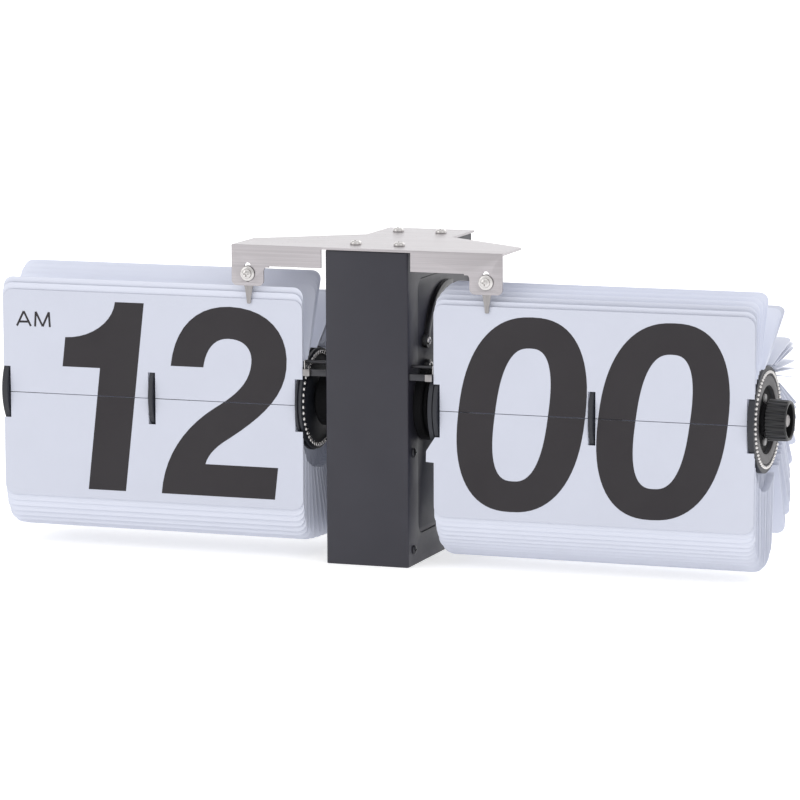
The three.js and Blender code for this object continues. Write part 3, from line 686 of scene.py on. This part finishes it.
def make_drums():
    for name, side, count, _ in DRUMS:
        body = f"{name}_drum"
        make_disc(f"{name}_disc_inner", side, body, False)
        make_disc(f"{name}_disc_middle", side, body, False)
        make_disc(f"{name}_disc_outer", side, body, True)
        make_open_face(f"{name}_disc_outer", side, body, count)
        a, b = disc_span(f"{name}_disc_inner")
        start, rise = (a, 0.3) if side > 0 else (b, 0.85)
        bead_row(f"{name}_disc_inner_pin_ends", start, -side, count, body, 0.88, rise)
    low, high = box_mm("hour_axle")
    profile = [(0, high[0]), (SHAFT_R, high[0]), (SHAFT_R, low[0] + 0.3), (SHAFT_R - 0.3, low[0]),
               (0, low[0])]
    shaft = add_lathe(bmesh.new(), profile, (AXIS_Y, AXIS_Z), "x", 40)
    piece("hour_shaft", shaft, TURNED, "hour_drum", ["hour_axle"])


# ---- leaves ------------------------------------------------------------------------------------
def leaf_outline(name, ear=False):
    """A leaf as (x, distance from its pin) on the minute side; the hour side mirrors it."""
    inner_far = max(abs(c) for c in disc_span(f"{name}_disc_inner"))
    middle = sorted(abs(c) for c in disc_span(f"{name}_disc_middle"))
    outer_near = min(abs(c) for c in disc_span(f"{name}_disc_outer"))
    base, slot, tip, r = SPLIT - PIN_DROP, SLOT_TOP - PIN_DROP, LEAF_TOP - PIN_DROP, CORNER_R
    first, last = inner_far + SLOT_PLAY, outer_near - SLOT_PLAY
    m0, m1 = middle[0] - SLOT_PLAY, middle[1] + SLOT_PLAY
    points = [(first, base), (m0, base), (m0, slot), (m1, slot), (m1, base), (last, base),
              (last, slot), (LEAF_OUT, slot)]
    points += arc(LEAF_OUT - r, tip - r, r, 0, 90, 7)
    points += arc(LEAF_IN + r, tip - r, r, 90, 180, 7)
    if ear:
        points += [(LEAF_IN, slot + 11.2), (LEAF_IN - 3.6, slot + 11.0),
                   (LEAF_IN - 3.5, slot + 6.2), (LEAF_IN + 0.6, slot)]
    else:
        points += [(LEAF_IN, slot)]
    points += [(first, slot)]
    return points


def leaf(label, name, side, pin, direction, body, replaces=(), ear=False, shift=0.0, material=LEAF):
    """One leaf as a thin sheet from its pin. pin is (y, z); direction is its angle above +Y."""
    t = math.radians(direction)
    along, across = (math.cos(t), math.sin(t)), (-math.sin(t), math.cos(t))
    outline = leaf_outline(name, ear)
    bm = bmesh.new()
    sides = []
    for off in (-LEAF_THICK / 2, LEAF_THICK / 2):
        sides.append([bm.verts.new((side * (x + shift), pin[0] + along[0] * v + across[0] * off,
                                    pin[1] + along[1] * v + across[1] * off)) for x, v in outline])
    for ring in sides:
        bm.faces.new(ring)
    count = len(outline)
    for i in range(count):
        j = (i + 1) % count
        bm.faces.new((sides[0][i], sides[0][j], sides[1][j], sides[1][i]))
    piece(label, bm, material, body, replaces)


# (a pin's angle round the drum, its leaf's direction). A pin is at 180 in front, 90 on top and 0
# behind. Leaves stand upright in front, lean on each other behind the drum and hang once fallen.
TOP = {
    "minute": [(180, 90), (171, 88.5), (165, 85.5), (159, 81.5), (153, 77), (141, 66), (135, 41)],
    "hour": [(180, 90), (168, 89.8), (161, 89.3), (154, 69.5), (131, 66.5), (124, 38)],
}
BEHIND = [(105, 33.5), (99, 13), (93, 12), (87, 9), (81, 7), (75, -0.5), (69, -4.8), (63, -9.2),
          (57, -23), (51, -25), (45, -29.5), (39, -35.5), (33, -41), (27, -53), (21, -59),
          (15, -60.5), (-27, -59.5), (-33, -67.5), (-39, -67.5)]
HANGING = {
    "minute": [(-45, -96), (-63, -94.5), (-90, -92), (-120, -90.3), (-150, -89.6), (-180, -89.1)],
    "hour": [(-90, -70), (-105, -72), (-112, -76), (-120, -80), (-127, -86), (-135, -89.6),
             (-180, -89.1)],
}


def lean(name, pin):
    """A leaf's direction for its pin's angle, read between the points above."""
    knots = TOP[name] + BEHIND + HANGING[name]
    for (a0, d0), (a1, d1) in zip(knots, knots[1:]):
        if pin >= a1:
            return d0 + (d1 - d0) * (a0 - pin) / (a0 - a1)
    return knots[-1][1]


def pin_at(angle, lag):
    t = math.radians(angle)
    return AXIS_Y + PIN_R * math.cos(t), AXIS_Z - lag + PIN_R * math.sin(t)


def make_leaves(name, side, count, lag):
    """The two front leaves, and all the loose ones behind them, a step of the drum apart."""
    step = 360 / count
    front_pin = (LEAF_Y, AXIS_Z - lag)
    upper = (front_pin[0], front_pin[1] + PIN_DROP)
    lower = (front_pin[0], front_pin[1] - PIN_DROP)
    leaf(f"{name}_upper_leaf", name, side, upper, 90, "root", [f"{name}_leaf_upper"])
    leaf(f"{name}_lower_leaf", name, side, lower, -90, f"{name}_leaf", [f"{name}_leaf_lower"],
         ear=side > 0)
    replaced = [f"{name}_leaves_waiting", f"{name}_leaves_fallen"]
    for i in range(1, count - 1):
        angle = 180 - step / 2 - i * step
        slack = 0.4 if angle > -40 else 0.0
        tilt = lean(name, angle) + rng.uniform(-slack, slack)
        shift = rng.uniform(-0.25, 0.25)
        # Loose leaves get the painted-light sheets, and the ones under the bracket get the stronger
        # painted light.
        leaf(f"{name}_leaf_{i:02d}", name, side, pin_at(angle, lag), tilt, "root", replaced,
             shift=shift, material=PAINTED_BACKLIGHT_LEAF if 120 < angle < 160 else PAINTED_LIGHT_LEAF)
        replaced = ()


# ---- printed characters ------------------------------------------------------------------------
def bezier(p0, p1, p2, p3, steps=10):
    """A cubic curve's points, without its last one."""
    out = []
    for i in range(steps):
        t = i / steps
        w = ((1 - t) ** 3, 3 * t * (1 - t) ** 2, 3 * t * t * (1 - t), t ** 3)
        out.append(tuple(sum(k * p[a] for k, p in zip(w, (p0, p1, p2, p3))) for a in (0, 1)))
    return out


def super_ellipse(a, b, power, steps=72):
    out = []
    for i in range(steps):
        t = 2 * math.pi * i / steps
        c, s = math.cos(t), math.sin(t)
        out.append((math.copysign(abs(c) ** (2 / power), c) * a,
                    math.copysign(abs(s) ** (2 / power), s) * b))
    return out


def slant(points, amount):
    return [(u + amount * v, v) for u, v in points]


SLANT = 0.114
TALL = 42.4  # half of a number's height


def glyph_zero():
    return [slant(super_ellipse(28.7, TALL + 0.2, 2.4), 0.116),
            slant(super_ellipse(12.0, 29.1, 2.63), 0.136)]


def glyph_one():
    hook = [(4.2 - 22.4 * (1 - math.cos(math.radians(a))), TALL - 16.7 * math.sin(math.radians(a)))
            for a in range(0, 91, 9)]
    outline = [(0, -TALL), (18.1, -TALL), (18.1, TALL)] + hook + [(-18.2, 12.5), (0, 12.5)]
    return [slant(outline, SLANT)]


def glyph_two():
    outline = bezier((-27.8, 15), (-27.8, 33), (-17.8, TALL), (-2.6, TALL))
    outline += bezier((-2.6, TALL), (15, TALL), (27, 32), (27, 15.8))
    outline += bezier((27, 15.8), (27, 1.5), (14.5, -8.5), (0.5, -18.2))
    outline += bezier((0.5, -18.2), (-3.5, -21.2), (-6.2, -24.8), (-6.7, -28.2), 6)
    outline += [(-6.7, -28.2), (27.8, -28.2), (27.8, -TALL), (-26.2, -TALL)]
    outline += bezier((-26.2, -TALL), (-26.8, -26), (-19, -12.5), (-5, -2.9))[1:]
    outline += bezier((-5, -2.9), (4.5, 3.2), (10.3, 8.8), (10.3, 17.6))
    outline += bezier((10.3, 17.6), (10.3, 24.2), (5.6, 28.2), (-1.6, 28.2))
    outline += bezier((-1.6, 28.2), (-8.8, 28.2), (-12, 22.5), (-12.2, 15))
    outline += [(-12.2, 15)]
    return [slant(outline, SLANT)]


def print_half(label, loops, centre, split_z, y, upper, body):
    """The part of a character on one leaf: a thin layer on its face, cut at the split line."""
    bm = bmesh.new()
    edges = []
    for loop in loops:
        verts = [bm.verts.new((centre + u, 0, v)) for u, v in loop]
        edges += [bm.edges.new((a, b)) for a, b in zip(verts, verts[1:] + verts[:1])]
    bmesh.ops.triangle_fill(bm, use_beauty=True, edges=edges, normal=(0, -1, 0))
    sign = 1 if upper else -1
    bmesh.ops.bisect_plane(bm, geom=bm.verts[:] + bm.edges[:] + bm.faces[:],
                           plane_co=(0, 0, sign * SPLIT), plane_no=(0, 0, -sign), clear_outer=True)
    bmesh.ops.dissolve_limit(bm, angle_limit=0.01, verts=bm.verts, edges=bm.edges)
    thick = 0.035
    bmesh.ops.recalc_face_normals(bm, faces=bm.faces)
    result = bmesh.ops.extrude_face_region(bm, geom=bm.faces[:])
    moved = [v for v in result["geom"] if isinstance(v, bmesh.types.BMVert)]
    bmesh.ops.translate(bm, verts=moved, vec=(0, -thick, 0))
    bmesh.ops.translate(bm, verts=bm.verts, vec=(0, y, split_z))
    piece(label, bm, INK, body, sharp=30)


def make_numbers():
    face = LEAF_Y - LEAF_THICK / 2 - 0.01
    rows = (("hour", HOUR_LAG, (("1", glyph_one, -128.3), ("2", glyph_two, -66.7))),
            ("minute", 0.0, (("0a", glyph_zero, 70.4), ("0b", glyph_zero, 133.6))))
    for name, lag, characters in rows:
        for label, glyph, centre in characters:
            for upper in (True, False):
                half = "upper" if upper else "lower"
                body = "root" if upper else f"{name}_leaf"
                print_half(f"{name}_print_{label}_{half}", glyph(), centre, AXIS_Z - lag, face,
                           upper, body)


def stroke(a, b, width):
    """A straight bar from a to b as a four-point outline."""
    dx, dy = b[0] - a[0], b[1] - a[1]
    long = math.hypot(dx, dy)
    nx, ny = -dy / long * width / 2, dx / long * width / 2
    return [(a[0] - nx, a[1] - ny), (b[0] - nx, b[1] - ny),
            (b[0] + nx, b[1] + ny), (a[0] + nx, a[1] + ny)]


def make_day_mark():
    """The small AM at the top left of the hour leaf."""
    face = LEAF_Y - LEAF_THICK / 2 - 0.01
    bm = bmesh.new()
    height, line, a_left, m_left = 6.7, 0.95, -167.1, -158.2
    base = AXIS_Z - HOUR_LAG + 29.9
    strokes = [((a_left, 0), (a_left + 3.4, height)), ((a_left + 3.4, height), (a_left + 6.8, 0.1)),
               ((a_left + 1.2, 1.95), (a_left + 5.8, 2.05)), ((m_left, 0), (m_left + 0.4, height)),
               ((m_left + 0.4, height), (m_left + 3.7, 0.2)),
               ((m_left + 3.7, 0.2), (m_left + 6.8, height)),
               ((m_left + 6.8, height), (m_left + 7.2, 0))]
    for i, (a, b) in enumerate(strokes):
        outline = [(u, v + base) for u, v in stroke(a, b, line)]
        add_prism(bm, outline, face - 0.03 - 0.002 * i, face, "y")
    piece("hour_print_am", bm, INK, "root")


# ---- hidden parts that keep their CAD shape ----------------------------------------------------
def finish_inner_parts():
    looks = {
        ACETAL: ["minute_drive_wheel", "reduction_wheel", "hour_wheel"],
        BRASS: ["minute_pinion", "reduction_pinion", "motor_pinion",
                "movement_pillar_1", "movement_pillar_2", "movement_pillar_3"],
        BRUSHED: ["movement_plate_right", "movement_plate_left", "motor"],
        TURNED: ["contact_front", "contact_back"],
        BOARD: ["circuit_board"],
        CELL: ["battery_cell"],
    }
    for material, nodes in looks.items():
        for node in nodes:
            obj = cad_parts[node]
            obj.data.materials.clear()
            obj.data.materials.append(material)


# ---- floor, light and camera -------------------------------------------------------------------
def area_light(name, place, target, size, power):
    light = bpy.data.lights.new(name, "AREA")
    light.shape, light.size, light.energy = "SQUARE", size, power
    obj = bpy.data.objects.new(name, light)
    scene.collection.objects.link(obj)
    obj.location = place
    obj.rotation_mode = "QUATERNION"
    obj.rotation_quaternion = (Vector(target) - Vector(place)).to_track_quat("-Z", "Y")


def make_stage():
    """A white floor that bends up behind the clock. Its lengths are in metres."""
    bm = bmesh.new()
    wide, deep, back, rise, r = 6.0, -3.0, 2.2, 3.0, 0.8
    profile = [(deep, 0)] + arc(back - r, r, r, -90, 0, 10) + [(back, rise)]
    rings = [[bm.verts.new((x, y, z)) for y, z in profile] for x in (-wide, wide)]
    for i in range(len(profile) - 1):
        bm.faces.new((rings[0][i], rings[0][i + 1], rings[1][i + 1], rings[1][i]))
    mesh = bpy.data.meshes.new("stage")
    bm.to_mesh(mesh)
    bm.free()
    mesh.polygons.foreach_set("use_smooth", [True] * len(mesh.polygons))
    surface = Surface("stage_paper", (0.75, 0.75, 0.755), 0.8, Emission_Strength=0.55,
                      Emission_Color=(1, 1, 1, 1))
    surface.bump(surface.noise(300), 0.02)
    mesh.materials.append(surface.material)
    floor = bpy.data.objects.new("stage", mesh)
    scene.collection.objects.link(floor)


def make_lights():
    """A white sky and four square lights. Lengths are in metres."""
    world = bpy.data.worlds.new("studio")
    scene.world = world
    world.use_nodes = True
    background = world.node_tree.nodes["Background"]
    background.inputs["Color"].default_value = (1, 1, 1, 1)
    background.inputs["Strength"].default_value = 0.85
    middle = (0, 0, 0.07)
    area_light("key", (-1.6, -1.7, 1.0), middle, 1.6, 6.5)
    area_light("top", (0.1, -0.9, 1.9), middle, 1.4, 3)
    area_light("fill", (1.6, -1.2, 0.8), middle, 1.4, 1.5)
    area_light("back", (0.6, 1.6, 1.5), middle, 1.2, 2)


def make_camera():
    azimuth, elevation, roll = 19.74, 8.36, 0.191
    distance = 1.886
    target = Vector((13.5, 5.4 + CASE_FRONT, 73.2)) * MM
    a, e = math.radians(azimuth), math.radians(elevation)
    back = Vector((math.sin(a) * math.cos(e), -math.cos(a) * math.cos(e), math.sin(e)))
    camera = bpy.data.cameras.new("camera")
    camera.lens, camera.sensor_width = 194.9, 36
    camera.clip_start, camera.clip_end = 0.05, 50
    obj = bpy.data.objects.new("camera", camera)
    scene.collection.objects.link(obj)
    aim = (-back).to_track_quat("-Z", "Y").to_matrix().to_4x4()
    lean_over = Matrix.Rotation(-math.radians(roll), 4, "Z")
    obj.matrix_world = Matrix.Translation(target + back * distance) @ aim @ lean_over
    scene.camera = obj
    scene.view_settings.view_transform = "Standard"


make_camera()
make_stage()
make_lights()
make_case()
make_case_covers()
make_side_screws()
make_bracket()
make_bracket_screws()
make_finger("minute")
make_finger("hour")
make_hub_parts()
make_drums()
make_knob()
for drum in DRUMS:
    make_leaves(*drum)
make_numbers()
make_day_mark()
finish_inner_parts()
